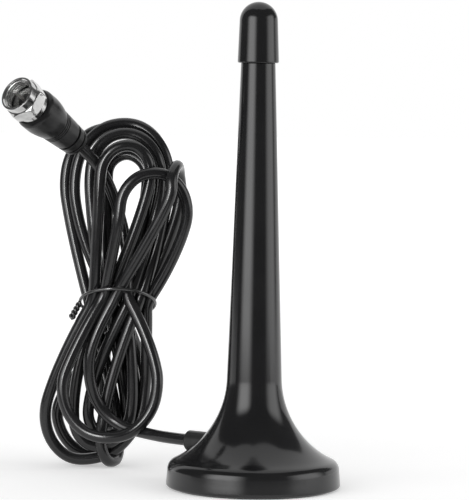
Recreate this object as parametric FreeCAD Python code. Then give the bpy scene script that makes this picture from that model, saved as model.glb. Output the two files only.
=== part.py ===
import FreeCAD, Part

import math
import os

from FreeCAD import Placement, Rotation, Vector

# Magnetic-base radio antenna: a tapered mast that flares into a round foot, a push-on tip cap,
# a coax lead tied in a hank, and a screw plug. Millimetres, +Z up, origin under the foot's centre.

# Mast housing, one moulding
base_diameter = 50.0
rim_height = 7.4
rim_draft_deg = 4.5
shoulder_radius = 3.0
rim_edge_radius = 0.8
mast_foot_diameter = 15.72
mast_foot_height = 31.2
mast_top_diameter = 9.76
mast_top_height = 121.2
housing_wall = 1.6
spigot_step = 0.7
spigot_length = 9.0

# Tip cap
cap_overhang = 1.0
cap_length = 17.3
cap_taper = 0.45
cap_lip_radius = 0.4
cap_fit = 0.05
cap_headroom = 0.2
cap_socket_depth = 2.5

# Foot: pad, magnet and ground plate
rim_lip = 1.5
pad_ledge = 1.0
pad_thickness = 1.2
pad_proud = 0.4
pad_fit = 0.2
magnet_thickness = 4.4
magnet_clearance = 1.2
plate_thickness = 0.8
plate_clearance = 0.5

# Radiator: a whip on a former, with a loading coil
former_diameter = 3.8
former_margin = 6.0
coil_wire_diameter = 0.8
coil_pitch = 6.0
coil_turns = 6
coil_fit = 0.1
whip_diameter = 2.0
whip_fit = 0.05
whip_socket_depth = 10.0

# Coax cable and its gland
cable_diameter = 3.5
cable_fit = 0.1
gland_azimuth_deg = 145.0
gland_rise = 5.2
gland_diameter = 6.0
gland_projection = 6.1
gland_edge = 0.9
gland_fit = 0.05
gland_flange_width = 0.6
gland_flange_thickness = 1.5
gland_flange_clearance = 0.3
jacket_stub = 1.0
dielectric_diameter = 1.6
dielectric_stub = 2.6
core_diameter = 0.6
core_fit = 0.05
solder_gap = 0.05
pigtail_diameter = 0.8
pigtail_reach = 1.0
pigtail_bend = 1.0
pigtail_gap = 0.1

# The lead after its gland: a straight start, then hand-placed points into the hank
lead_straight = 5.6
lead_points = [(-32.0, 26.0, 11.9), (-40.0, 31.0, 13.2)]

# Hank of cable: height, centre across, centre deep, half width, half depth
hank_waist = (49.5, -41.0, 37.0, 10.4, 6.9)
hank_sections = [
    (0.1, -46.5, 38.0, 8.5, 7.0),
    (3.0, -47.5, 38.0, 11.5, 10.0),
    (8.0, -47.5, 37.8, 14.8, 13.0),
    (18.0, -45.8, 37.5, 17.6, 15.0),
    (34.0, -43.0, 37.2, 14.9, 11.6),
    hank_waist,
    (64.0, -38.9, 36.6, 16.3, 10.2),
    (80.0, -38.6, 36.0, 20.0, 12.6),
    (92.0, -39.4, 38.0, 18.0, 11.0),
    (100.0, -40.3, 40.5, 12.5, 7.5),
    (104.5, -40.2, 41.5, 5.5, 3.8),
]

# Twist tie round the hank's waist
tie_wire_diameter = 1.0
tie_clearance = 0.3
tie_lean_deg = 30.0
tie_lean_room = 0.9
tie_twist_length = 5.5
tie_twist_pitch = 2.6
tie_twist_offset = 0.42
tie_twist_axis = (-0.45, -0.25, -0.86)

# Screw plug: where its boot's rear face is, and the way its mouth points
plug_rear = (-53.1, 25.6, 97.3)
plug_axis = (-0.522, -0.706, 0.478)
tail_entry = 5.0
tail_points = [(-41.8, 37.2, 79.4), (-45.2, 34.6, 88.0)]

boot_length = 21.9
boot_end_diameter = 8.3
boot_body_diameter = 10.4
boot_barrel_start = 12.2
boot_barrel_full = 18.2
boot_barrel_diameter = 12.5
boot_barrel_bulge = 0.25
boot_nose_diameter = 11.2
boot_nose_length = 1.6
boot_nose_bulge = 0.2
boot_edge_radius = 0.4
# each groove round the boot: where it starts, width, depth
boot_grooves = [(1.3, 0.5, 0.5), (4.0, 0.8, 0.7), (9.95, 0.4, 0.3), (10.7, 0.4, 0.3), (11.45, 0.4, 0.3)]

band_diameter = 10.4
band_length = 1.8
sleeve_diameter = 7.0
sleeve_length = 10.5
sleeve_fit = 0.05
post_diameter = 6.0
post_bore = 4.6
post_flange_diameter = 8.2
post_flange_thickness = 1.0
insulator_recess = 1.2
insulator_fit = 0.05
pin_diameter = 1.0
pin_point = 0.2
pin_proud = 1.2

nut_across_flats = 11.0
nut_hex_length = 3.7
nut_front_diameter = 10.6
nut_front_length = 2.5
nut_bore = 8.9
nut_mouth_chamfer = 0.3
nut_corner_drop = 0.5
nut_turn_deg = -16.0
nut_lip_thickness = 0.8
nut_running_fit = 0.08
nut_play = 0.2

match_tolerance = 1e-4
bend_share = 0.45
hex_sides = 6
up = Vector(0, 0, 1)


def outline(start, steps):
    """Closed face in the plane of the axis: a step is a point, or a mid point and an end for an arc."""
    edges = []
    here = Vector(start[0], 0, start[1])
    for step in steps + [start]:
        arc = isinstance(step[0], tuple)
        end = step[1] if arc else step
        there = Vector(end[0], 0, end[1])
        if arc:
            middle = Vector(step[0][0], 0, step[0][1])
            edges.append(Part.Arc(here, middle, there).toShape())
        elif (there - here).Length > match_tolerance:
            edges.append(Part.LineSegment(here, there).toShape())
        here = there
    return Part.Face(Part.Wire(edges))


def turned(start, steps):
    return outline(start, steps).revolve(Vector(0, 0, 0), up, 360)


def ring_edges(solid, radius, height):
    """The round edges of a turned solid that have this radius at this height."""
    found = []
    for edge in solid.Edges:
        if edge.Degenerated or not isinstance(edge.Curve, Part.Circle):
            continue
        same_radius = abs(edge.Curve.Radius - radius) < match_tolerance
        same_height = abs(edge.Curve.Center.z - height) < match_tolerance
        if same_radius and same_height:
            found.append(edge)
    return found


def rounded(solid, size, radius, height):
    return solid.makeFillet(size, ring_edges(solid, radius, height))


def placed(shape, origin, axis):
    """A copy of a shape drawn along +Z, moved so that it starts at origin and runs along axis."""
    copy = shape.copy()
    copy.Placement = Placement(origin, Rotation(up, axis))
    return copy


def smooth_path(points):
    """Straight runs joined by tangent arcs, each as large as its two runs allow."""
    spots = [Vector(*point) for point in points]
    edges = []
    radii = []
    here = spots[0]
    for before, corner, after in zip(spots, spots[1:], spots[2:]):
        arriving = corner - before
        leaving = after - corner
        trim = bend_share * min(arriving.Length, leaving.Length)
        half_turn = arriving.getAngle(leaving) / 2
        radius = trim / math.tan(half_turn)
        arriving.normalize()
        leaving.normalize()
        inward = leaving - arriving
        inward.normalize()
        arc_start = corner - arriving * trim
        arc_middle = corner + inward * (radius / math.cos(half_turn) - radius)
        arc_end = corner + leaving * trim
        edges.append(Part.LineSegment(here, arc_start).toShape())
        edges.append(Part.Arc(arc_start, arc_middle, arc_end).toShape())
        radii.append(radius)
        here = arc_end
    edges.append(Part.LineSegment(here, spots[-1]).toShape())
    return Part.Wire(edges), radii


def swept(wire, diameter, start, direction):
    circle = Part.Wire(Part.Circle(start, direction, diameter / 2).toShape())
    return wire.makePipeShell([circle], True, False)


def tube(name, points, diameter):
    wire, radii = smooth_path(points)
    first = Vector(*points[0])
    solid = swept(wire, diameter, first, Vector(*points[1]) - first)
    expected = math.pi * diameter**2 / 4 * wire.Length
    print(name, "bend radii", [round(radius, 1) for radius in radii])
    print(name, "length", round(wire.Length, 1), "volume ratio", round(solid.Volume / expected, 4))
    return solid


# Housing lines: the mast's taper, the flare's arc and the inner shell that follows them
base_radius = base_diameter / 2
mast_foot_radius = mast_foot_diameter / 2
mast_top_radius = mast_top_diameter / 2
mast_slope = math.atan2(mast_foot_radius - mast_top_radius, mast_top_height - mast_foot_height)
wall_normal = (math.cos(mast_slope), math.sin(mast_slope))
rim_top_radius = base_radius - math.tan(math.radians(rim_draft_deg)) * (rim_height - pad_proud)
corner_across = rim_top_radius - mast_foot_radius
corner_up = rim_height - mast_foot_height
flare_radius = (corner_across**2 + corner_up**2) / (
    2 * (wall_normal[0] * corner_across + wall_normal[1] * corner_up)
)
flare_centre = (
    mast_foot_radius + flare_radius * wall_normal[0],
    mast_foot_height + flare_radius * wall_normal[1],
)
pad_recess_radius = base_radius - rim_lip
cavity_radius = pad_recess_radius - pad_ledge
shell_top_radius = mast_top_radius - housing_wall
spigot_radius = mast_top_radius - spigot_step
spigot_top = mast_top_height + spigot_length


def flare_point(radius, angle):
    return (
        flare_centre[0] - radius * math.cos(angle),
        flare_centre[1] - radius * math.sin(angle),
    )


def flare_reach(height, wall=0.0):
    """Distance from the axis to the flare's outer face, or to its inner face with the wall given."""
    drop = flare_centre[1] - height
    return flare_centre[0] - math.sqrt((flare_radius + wall) ** 2 - drop**2)


def shell_reach(height):
    return min(cavity_radius, flare_reach(height, housing_wall))


# Heights in the foot, from the pad up to the cable
magnet_top = pad_thickness + magnet_thickness
plate_top = magnet_top + plate_thickness
gland_height = plate_top + gland_rise
gland_angle = math.radians(gland_azimuth_deg)
gland_axis = Vector(math.cos(gland_angle), math.sin(gland_angle), 0)
gland_radius = gland_diameter / 2
gland_flange_radius = gland_radius + gland_flange_width
gland_outer = flare_reach(gland_height) + gland_projection
gland_seat = flare_reach(gland_height + gland_flange_radius, housing_wall) - gland_flange_clearance
gland_inner = gland_seat - gland_flange_thickness
jacket_end = gland_inner - jacket_stub
dielectric_end = jacket_end - dielectric_stub
coil_radius = former_diameter / 2 + coil_fit + coil_wire_diameter / 2
core_end = coil_radius + coil_wire_diameter / 2 + solder_gap
former_top = gland_height + coil_pitch * coil_turns + former_margin


def gland_point(reach, rise=0.0):
    return gland_axis * reach + Vector(0, 0, gland_height + rise)


def mast_housing():
    rim_angle = math.asin((flare_centre[1] - rim_height) / flare_radius)
    middle = flare_point(flare_radius, (rim_angle + mast_slope) / 2)
    outside = turned(
        (0, pad_proud),
        [
            (base_radius, pad_proud),
            (rim_top_radius, rim_height),
            (middle, (mast_foot_radius, mast_foot_height)),
            (mast_top_radius, mast_top_height),
            (spigot_radius, mast_top_height),
            (spigot_radius, spigot_top),
            (0, spigot_top),
        ],
    )
    outside = rounded(outside, shoulder_radius, rim_top_radius, rim_height)
    outside = rounded(outside, rim_edge_radius, base_radius, pad_proud)
    inner_radius = flare_radius + housing_wall
    inner_foot = flare_point(inner_radius, mast_slope)
    inner_angle = math.acos((flare_centre[0] - cavity_radius) / inner_radius)
    inner_middle = flare_point(inner_radius, (inner_angle + mast_slope) / 2)
    inside = turned(
        (0, pad_proud),
        [
            (pad_recess_radius, pad_proud),
            (pad_recess_radius, pad_thickness),
            (cavity_radius, pad_thickness),
            flare_point(inner_radius, inner_angle),
            (inner_middle, inner_foot),
            (shell_top_radius, mast_top_height),
            (shell_top_radius, spigot_top),
            (0, spigot_top),
        ],
    )
    hole_radius = gland_radius + gland_fit
    hole = Part.makeCylinder(hole_radius, gland_outer - gland_seat, gland_point(gland_seat), gland_axis)
    return outside.cut(inside).cut(hole)


def tip_cap():
    bottom_radius = mast_top_radius + cap_overhang
    dome_radius = bottom_radius - cap_taper
    top = mast_top_height + cap_length
    dome_height = top - dome_radius
    bore_radius = spigot_radius + cap_fit
    ceiling = spigot_top + cap_headroom
    socket_radius = (whip_diameter + whip_fit) / 2
    slant = dome_radius * math.sqrt(0.5)
    cap = turned(
        (0, ceiling + cap_socket_depth),
        [
            (socket_radius, ceiling + cap_socket_depth),
            (socket_radius, ceiling),
            (bore_radius, ceiling),
            (bore_radius, mast_top_height),
            (bottom_radius, mast_top_height),
            (dome_radius, dome_height),
            ((slant, dome_height + slant), (0, top)),
        ],
    )
    return rounded(cap, cap_lip_radius, bottom_radius, mast_top_height)


def base_pad():
    return Part.makeCylinder(pad_recess_radius - pad_fit, pad_thickness)


def magnet():
    radius = shell_reach(magnet_top) - magnet_clearance
    return Part.makeCylinder(radius, magnet_thickness, Vector(0, 0, pad_thickness))


def ground_plate():
    radius = shell_reach(plate_top) - plate_clearance
    return Part.makeCylinder(radius, plate_thickness, Vector(0, 0, magnet_top))


def coil_former():
    socket_radius = whip_diameter / 2 + whip_fit
    socket_floor = former_top - whip_socket_depth
    return turned(
        (0, plate_top),
        [
            (former_diameter / 2, plate_top),
            (former_diameter / 2, former_top),
            (socket_radius, former_top),
            (socket_radius, socket_floor),
            (0, socket_floor),
        ],
    )


def whip_rod():
    bottom = former_top - whip_socket_depth
    top = spigot_top + cap_headroom + cap_socket_depth
    return Part.makeCylinder(whip_diameter / 2, top - bottom, Vector(0, 0, bottom))


def loading_coil():
    helix = Part.makeHelix(coil_pitch, coil_pitch * coil_turns, coil_radius)
    rise = Vector(0, coil_radius, coil_pitch / math.tau)
    circle = Part.Circle(Vector(coil_radius, 0, 0), rise, coil_wire_diameter / 2)
    coil = helix.makePipeShell([Part.Wire(circle.toShape())], True, True)
    coil.Placement = Placement(Vector(0, 0, gland_height), Rotation(up, gland_azimuth_deg))
    return coil


def cable_gland():
    bore_radius = cable_diameter / 2 + cable_fit
    length = gland_outer - gland_inner
    gland = turned(
        (bore_radius, 0),
        [
            (gland_flange_radius, 0),
            (gland_flange_radius, gland_flange_thickness),
            (gland_radius, gland_flange_thickness),
            (gland_radius, length - gland_edge),
            (gland_radius - gland_edge, length),
            (bore_radius, length),
        ],
    )
    return placed(gland, gland_point(gland_inner), gland_axis)


def coax_lead():
    start = gland_point(jacket_end)
    bend = gland_point(gland_outer + lead_straight)
    return tube("coax_lead", [start, bend] + lead_points, cable_diameter)


def coax_dielectric():
    bore_radius = core_diameter / 2 + core_fit
    rod = Part.makeCylinder(dielectric_diameter / 2, dielectric_stub)
    rod = rod.cut(Part.makeCylinder(bore_radius, dielectric_stub))
    return placed(rod, gland_point(dielectric_end), gland_axis)


def feed_core():
    rod = Part.makeCylinder(core_diameter / 2, jacket_end - core_end)
    return placed(rod, gland_point(core_end), gland_axis)


def braid_pigtail():
    drop = -(dielectric_diameter + pigtail_diameter) / 2 - pigtail_gap
    start = gland_point(jacket_end, drop)
    bend_start = gland_point(jacket_end - pigtail_reach, drop)
    slant = pigtail_bend * math.sqrt(0.5)
    bend_middle = gland_point(jacket_end - pigtail_reach - slant, drop - pigtail_bend + slant)
    bend_end = gland_point(jacket_end - pigtail_reach - pigtail_bend, drop - pigtail_bend)
    foot = Vector(bend_end.x, bend_end.y, plate_top)
    path = Part.Wire(
        [
            Part.LineSegment(start, bend_start).toShape(),
            Part.Arc(bend_start, bend_middle, bend_end).toShape(),
            Part.LineSegment(bend_end, foot).toShape(),
        ]
    )
    return swept(path, pigtail_diameter, start, gland_axis * -1)


def cable_hank():
    wires = []
    for height, across, deep, half_width, half_depth in hank_sections:
        centre = Vector(across, deep, height)
        wires.append(Part.Wire(Part.Ellipse(centre, half_width, half_depth).toShape()))
    return Part.makeLoft(wires, True)


def twist_tie():
    height, across, deep, half_width, half_depth = hank_waist
    centre = Vector(across, deep, height)
    wire_radius = tie_wire_diameter / 2
    lean = math.radians(tie_lean_deg)
    end_radius = (half_depth + tie_lean_room + wire_radius) / math.cos(lean)
    reach = half_width + tie_clearance + wire_radius
    flat = reach - end_radius
    corners = [Vector(x, y, 0) for x, y in ((-flat, -end_radius), (flat, -end_radius))]
    corners += [Vector(x, y, 0) for x, y in ((flat, end_radius), (-flat, end_radius))]
    path = Part.Wire(
        [
            Part.LineSegment(corners[0], corners[1]).toShape(),
            Part.Arc(corners[1], Vector(reach, 0, 0), corners[2]).toShape(),
            Part.LineSegment(corners[2], corners[3]).toShape(),
            Part.Arc(corners[3], Vector(-reach, 0, 0), corners[0]).toShape(),
        ]
    )
    loop = swept(path, tie_wire_diameter, corners[0], Vector(1, 0, 0))
    # the loop leans so that its front side rides higher than its back
    loop.Placement = Placement(centre, Rotation(Vector(1, 0, 0), -tie_lean_deg))
    helix = Part.makeHelix(tie_twist_pitch, tie_twist_length, tie_twist_offset)
    rise = Vector(0, tie_twist_offset, tie_twist_pitch / math.tau)
    circle = Part.Circle(Vector(tie_twist_offset, 0, 0), rise, wire_radius)
    strand = helix.makePipeShell([Part.Wire(circle.toShape())], True, True)
    other = strand.copy()
    other.Placement = Placement(Vector(0, 0, 0), Rotation(up, 180))
    ends = placed(strand.fuse(other), centre - Vector(reach, 0, 0), Vector(*tie_twist_axis))
    return loop.fuse(ends)


# Plug: distances along its axis from the boot's rear face
plug_direction = Vector(*plug_axis)
plug_direction.normalize()
plug_origin = Vector(*plug_rear)
band_front = boot_length + band_length
nut_rear = band_front + nut_play
nut_lip_front = nut_rear + nut_lip_thickness
flange_rear = nut_lip_front + nut_play
post_front = flange_rear + post_flange_thickness
bead_front = post_front - insulator_recess
hex_front = nut_rear + nut_hex_length
mouth = hex_front + nut_front_length
sleeve_rear = boot_length - sleeve_length
cable_radius = cable_diameter / 2


def on_plug(shape):
    return placed(shape, plug_origin, plug_direction)


def coax_tail():
    end = plug_origin + plug_direction * tail_entry
    bend = plug_origin - plug_direction * tail_entry
    return tube("coax_tail", tail_points + [bend, end], cable_diameter)


def connector_boot():
    bore_radius = cable_radius + cable_fit
    seat_radius = sleeve_diameter / 2 + sleeve_fit
    end_radius = boot_end_diameter / 2
    body_radius = boot_body_diameter / 2
    barrel_radius = boot_barrel_diameter / 2
    nose_radius = boot_nose_diameter / 2
    nose_start = boot_length - boot_nose_length
    swell_middle = (boot_barrel_start + boot_barrel_full) / 2
    swell = ((body_radius + barrel_radius) / 2 + boot_barrel_bulge, swell_middle)
    nose = ((barrel_radius + nose_radius) / 2 + boot_nose_bulge, (nose_start + boot_length) / 2)
    profile = [
        (end_radius, 0),
        (body_radius, boot_barrel_start),
        (swell, (barrel_radius, boot_barrel_full)),
        (barrel_radius, nose_start),
        (nose, (nose_radius, boot_length)),
        (seat_radius, boot_length),
        (seat_radius, sleeve_rear),
        (bore_radius, sleeve_rear),
    ]
    boot = turned((bore_radius, 0), profile)
    boot = rounded(boot, boot_edge_radius, end_radius, 0)
    taper = (body_radius - end_radius) / boot_barrel_start
    for start, width, depth in boot_grooves:
        floor_radius = end_radius + taper * start - depth
        outer = Part.makeCylinder(barrel_radius, width, Vector(0, 0, start))
        groove = outer.cut(Part.makeCylinder(floor_radius, width, Vector(0, 0, start)))
        boot = boot.cut(groove)
    return on_plug(boot)


def connector_sleeve():
    bore_radius = post_diameter / 2 + sleeve_fit
    sleeve = turned(
        (bore_radius, sleeve_rear),
        [
            (sleeve_diameter / 2, sleeve_rear),
            (sleeve_diameter / 2, boot_length),
            (band_diameter / 2, boot_length),
            (band_diameter / 2, band_front),
            (bore_radius, band_front),
        ],
    )
    return on_plug(sleeve)


def connector_post():
    post = turned(
        (post_bore / 2, sleeve_rear),
        [
            (post_diameter / 2, sleeve_rear),
            (post_diameter / 2, flange_rear),
            (post_flange_diameter / 2, flange_rear),
            (post_flange_diameter / 2, post_front),
            (post_bore / 2, post_front),
        ],
    )
    return on_plug(post)


def connector_insulator():
    bore_radius = core_diameter / 2 + core_fit
    bead_radius = post_bore / 2 - insulator_fit
    stub_radius = dielectric_diameter / 2
    bead = turned(
        (bore_radius, tail_entry),
        [
            (stub_radius, tail_entry),
            (stub_radius, sleeve_rear),
            (bead_radius, sleeve_rear),
            (bead_radius, bead_front),
            (bore_radius, bead_front),
        ],
    )
    return on_plug(bead)


def centre_pin():
    radius = pin_diameter / 2
    tip = mouth + pin_proud
    pin = turned(
        (0, tail_entry),
        [
            (core_diameter / 2, tail_entry),
            (core_diameter / 2, bead_front),
            (radius, bead_front),
            (radius, tip - pin_point),
            (radius - pin_point, tip),
            (0, tip),
        ],
    )
    return on_plug(pin)


def coupling_nut():
    flat_radius = nut_across_flats / 2
    corner_radius = flat_radius / math.cos(math.pi / hex_sides)
    corners = []
    for number in range(hex_sides):
        angle = math.radians(nut_turn_deg) + number * math.tau / hex_sides
        corners.append(Vector(corner_radius * math.cos(angle), corner_radius * math.sin(angle), nut_rear))
    hexagon = Part.Face(Part.makePolygon(corners + corners[:1])).extrude(up * nut_hex_length)
    shell = turned(
        (0, nut_rear),
        [
            (flat_radius, nut_rear),
            (corner_radius, nut_rear + nut_corner_drop),
            (corner_radius, hex_front - nut_corner_drop),
            (flat_radius, hex_front),
            (0, hex_front),
        ],
    )
    front = Part.makeCylinder(nut_front_diameter / 2, nut_front_length, Vector(0, 0, hex_front))
    lip_radius = post_diameter / 2 + nut_running_fit
    bore = turned(
        (0, nut_rear),
        [
            (lip_radius, nut_rear),
            (lip_radius, nut_lip_front),
            (nut_bore / 2, nut_lip_front),
            (nut_bore / 2, mouth - nut_mouth_chamfer),
            (nut_bore / 2 + nut_mouth_chamfer, mouth),
            (0, mouth),
        ],
    )
    return on_plug(hexagon.common(shell).fuse(front).cut(bore).removeSplitter())


pieces = [
    mast_housing,
    tip_cap,
    base_pad,
    magnet,
    ground_plate,
    coil_former,
    whip_rod,
    loading_coil,
    cable_gland,
    coax_lead,
    coax_dielectric,
    feed_core,
    braid_pigtail,
    cable_hank,
    twist_tie,
    coax_tail,
    connector_boot,
    connector_sleeve,
    connector_post,
    connector_insulator,
    centre_pin,
    coupling_nut,
]

os.makedirs("parts", exist_ok=True)
for piece in pieces:
    shape = piece()
    name = piece.__name__
    print(name, "valid", shape.isValid(), "solids", len(shape.Solids), "volume", round(shape.Volume, 2))
    shape.exportStep("parts/" + name + ".step")
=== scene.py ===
import math

import bmesh
import bpy
import numpy as np
from mathutils import Matrix, Vector


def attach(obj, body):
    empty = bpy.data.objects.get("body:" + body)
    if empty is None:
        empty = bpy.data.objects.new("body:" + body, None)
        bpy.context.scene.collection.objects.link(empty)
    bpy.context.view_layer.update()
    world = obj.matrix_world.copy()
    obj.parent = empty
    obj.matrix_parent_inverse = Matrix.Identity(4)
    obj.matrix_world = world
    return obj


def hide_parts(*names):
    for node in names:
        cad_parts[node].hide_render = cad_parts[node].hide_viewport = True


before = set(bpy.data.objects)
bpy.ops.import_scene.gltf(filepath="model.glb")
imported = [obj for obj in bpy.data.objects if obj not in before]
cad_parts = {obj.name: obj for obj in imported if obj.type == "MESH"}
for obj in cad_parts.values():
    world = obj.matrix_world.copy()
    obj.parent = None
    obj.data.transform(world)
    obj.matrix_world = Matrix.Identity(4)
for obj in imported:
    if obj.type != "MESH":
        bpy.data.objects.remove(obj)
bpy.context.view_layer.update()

mm = 0.001  # sizes of the antenna are in millimetres, Blender works in metres
scene = bpy.context.scene
scene.view_settings.view_transform = "Standard"
print("frame loaded:", len(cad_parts), "nodes")

# Camera

cameraView = {
    "place": (0.0, -832.0, 121.0),
    "aim": (-6.1, 0.0, 68.0),
    "lens": 210.9,
    "sensor": 36.0,
    "rollDeg": 0.7,  # the photo's mast leans a little to the right
}


def addCamera(view):
    data = bpy.data.cameras.new("photoCamera")
    data.lens = view["lens"]
    data.sensor_width = view["sensor"]
    camera = bpy.data.objects.new("photoCamera", data)
    scene.collection.objects.link(camera)
    place = Vector(view["place"]) * mm
    turn = (Vector(view["aim"]) * mm - place).to_track_quat("-Z", "Y")
    roll = Matrix.Rotation(math.radians(view["rollDeg"]), 4, "Z")
    camera.matrix_world = Matrix.Translation(place) @ turn.to_matrix().to_4x4() @ roll
    scene.camera = camera


addCamera(cameraView)
print("camera set")

# Finishes: every surface is a small node tree on Object coordinates

finishes = {
    "mastBlack": dict(
        slot="mast_black", dark=(0.0075, 0.0075, 0.008), light=(0.010, 0.010, 0.0105),
        rough=(0.12, 0.17), blotch=60, grain=900, bump=0.02, lift=0.02, specular=0.5,
    ),
    "padBlack": dict(
        slot="pad_black", dark=(0.010, 0.010, 0.010), light=(0.022, 0.022, 0.022),
        rough=(0.62, 0.8), blotch=180, grain=2600, bump=0.35, lift=0.05, specular=0.35,
    ),
    "glandBlack": dict(
        slot="gland_black", dark=(0.010, 0.010, 0.010), light=(0.016, 0.016, 0.016),
        rough=(0.3, 0.42), blotch=200, grain=3000, bump=0.12, lift=0.03, specular=0.45,
    ),
    "cableBlack": dict(
        slot="cable_black", dark=(0.0075, 0.0075, 0.008), light=(0.011, 0.011, 0.0115),
        rough=(0.16, 0.24), blotch=120, grain=1800, bump=0.05, lift=0.03, specular=0.5,
    ),
    "tieBlack": dict(
        slot="tie_black", dark=(0.009, 0.009, 0.009), light=(0.015, 0.015, 0.015),
        rough=(0.14, 0.24), blotch=300, grain=2500, bump=0.05, lift=0.02, specular=0.7,
        coat=0.6, coatRough=0.06,
    ),
    "bootBlack": dict(
        slot="boot_black", dark=(0.006, 0.006, 0.0063), light=(0.011, 0.011, 0.0113),
        rough=(0.27, 0.36), blotch=220, grain=4200, bump=0.08, lift=0.03, specular=0.4,
    ),
    "plugNickel": dict(
        slot="plug_nickel", dark=(0.50, 0.50, 0.495), light=(0.64, 0.64, 0.635),
        rough=(0.08, 0.15), blotch=400, grain=2200, bump=0.04, lift=0.02, metal=1.0,
    ),
    # the plug's nickel made lighter, in the same slot: a painted highlight, so the thread and the
    # post read bright inside the shaded bore
    "paintedHighlightNickel": dict(
        slot="plug_nickel", dark=(0.72, 0.72, 0.71), light=(0.88, 0.88, 0.87),
        rough=(0.2, 0.28), blotch=500, grain=2600, bump=0.06, lift=0.02, metal=1.0,
    ),
    "beadBlack": dict(
        slot="bead_black", dark=(0.010, 0.010, 0.010), light=(0.02, 0.02, 0.02),
        rough=(0.4, 0.55), blotch=500, grain=3000, bump=0.1, lift=0.02, specular=0.4,
    ),
    "pinTinned": dict(
        slot="pin_tinned", dark=(0.76, 0.75, 0.73), light=(0.90, 0.89, 0.87),
        rough=(0.34, 0.46), blotch=700, grain=4000, bump=0.1, lift=0.02, metal=1.0,
    ),
    "ferriteGrey": dict(
        slot="ferrite_grey", dark=(0.035, 0.035, 0.036), light=(0.07, 0.07, 0.07),
        rough=(0.55, 0.72), blotch=150, grain=1800, bump=0.3, lift=0.05, specular=0.4,
    ),
    "plateSteel": dict(
        slot="plate_steel", dark=(0.42, 0.42, 0.43), light=(0.58, 0.58, 0.58),
        rough=(0.3, 0.45), blotch=120, grain=1500, bump=0.08, lift=0.03, metal=1.0,
    ),
    "formerWhite": dict(
        slot="former_white", dark=(0.66, 0.65, 0.62), light=(0.78, 0.77, 0.74),
        rough=(0.4, 0.5), blotch=200, grain=1500, bump=0.08, lift=0.03, specular=0.5,
    ),
    "whipSteel": dict(
        slot="whip_steel", dark=(0.48, 0.48, 0.49), light=(0.64, 0.64, 0.64),
        rough=(0.2, 0.32), blotch=200, grain=2400, bump=0.06, lift=0.02, metal=1.0,
    ),
    "wireCopper": dict(
        slot="wire_copper", dark=(0.48, 0.17, 0.07), light=(0.66, 0.27, 0.12),
        rough=(0.18, 0.3), blotch=300, grain=2600, bump=0.06, lift=0.02, metal=1.0,
    ),
    "braidTinned": dict(
        slot="braid_tinned", dark=(0.46, 0.45, 0.43), light=(0.68, 0.67, 0.65),
        rough=(0.3, 0.45), blotch=900, grain=3500, bump=0.4, lift=0.04, metal=1.0,
    ),
    "dielectricWhite": dict(
        slot="dielectric_white", dark=(0.74, 0.74, 0.72), light=(0.84, 0.84, 0.82),
        rough=(0.35, 0.45), blotch=400, grain=2000, bump=0.05, lift=0.02, specular=0.5,
    ),
}

# what the finishes share: noise, the stretch of it that tone and gloss follow, and plain plastic
surface = {
    "blotch": {"Detail": 4.0, "Roughness": 0.55},
    "grain": {"Detail": 3.0, "Roughness": 0.6},
    "toneStops": (0.35, 0.68),
    "glossRange": (0.3, 0.7),
    "plain": {"metal": 0.0, "specular": 0.5, "coat": 0.0, "coatRough": 0.1},
    "sockets": {
        "Metallic": "metal", "Specular IOR Level": "specular",
        "Coat Weight": "coat", "Coat Roughness": "coatRough",
    },
}


def addNode(tree, kind, **values):
    node = tree.nodes.new(kind)
    for socket, value in values.items():
        node.inputs[socket].default_value = value
    return node


def addMapRange(tree, source=(0.0, 1.0), target=(0.0, 1.0), kind="LINEAR"):
    node = tree.nodes.new("ShaderNodeMapRange")
    node.interpolation_type = kind
    sockets = ("From Min", "From Max", "To Min", "To Max")
    for socket, value in zip(sockets, (*source, *target)):
        node.inputs[socket].default_value = value
    return node


def addMath(tree, operation, *terms):
    # a term is a number or another node's output
    node = tree.nodes.new("ShaderNodeMath")
    node.operation = operation
    for socket, term in zip(node.inputs, terms):
        if isinstance(term, float):
            socket.default_value = term
        else:
            tree.links.new(term, socket)
    return node


def startMaterial(name):
    material = bpy.data.materials.new(name)
    material.use_nodes = True
    return material, material.node_tree, material.node_tree.nodes["Principled BSDF"]


def makeFinish(name, look):
    material, tree, shader = startMaterial(name)
    look = {**surface["plain"], **look}
    for socket, key in surface["sockets"].items():
        shader.inputs[socket].default_value = look[key]
    where = tree.nodes.new("ShaderNodeTexCoord")
    blotch = addNode(tree, "ShaderNodeTexNoise", Scale=look["blotch"], **surface["blotch"])
    grain = addNode(tree, "ShaderNodeTexNoise", Scale=look["grain"], **surface["grain"])
    tone = tree.nodes.new("ShaderNodeValToRGB")
    stops = tone.color_ramp.elements
    for stop, position, key in zip(stops, surface["toneStops"], ("dark", "light")):
        stop.position = position
        stop.color = (*look[key], 1)
    gloss = addMapRange(tree, surface["glossRange"], look["rough"])
    bump = addNode(tree, "ShaderNodeBump", Strength=look["bump"], Distance=look["lift"] * mm)
    link = tree.links.new
    link(where.outputs["Object"], blotch.inputs["Vector"])
    link(where.outputs["Object"], grain.inputs["Vector"])
    link(blotch.outputs["Fac"], tone.inputs["Fac"])
    link(tone.outputs["Color"], shader.inputs["Base Color"])
    link(blotch.outputs["Fac"], gloss.inputs["Value"])
    link(gloss.outputs["Result"], shader.inputs["Roughness"])
    link(grain.outputs["Fac"], bump.inputs["Height"])
    link(bump.outputs["Normal"], shader.inputs["Normal"])
    return material


finish = {name: makeFinish(name, look) for name, look in finishes.items()}
print("finishes made:", len(finish))


def dress(piece, finishName, body, *nodes):
    # one finish, one body, and the CAD nodes that the piece stands for
    if not piece.data.materials:
        piece.data.materials.append(finish[finishName])
    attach(piece, body)
    if nodes:
        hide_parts(*nodes)
    return piece


# Cable: one run from the gland through the tied turns to the plug

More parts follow.
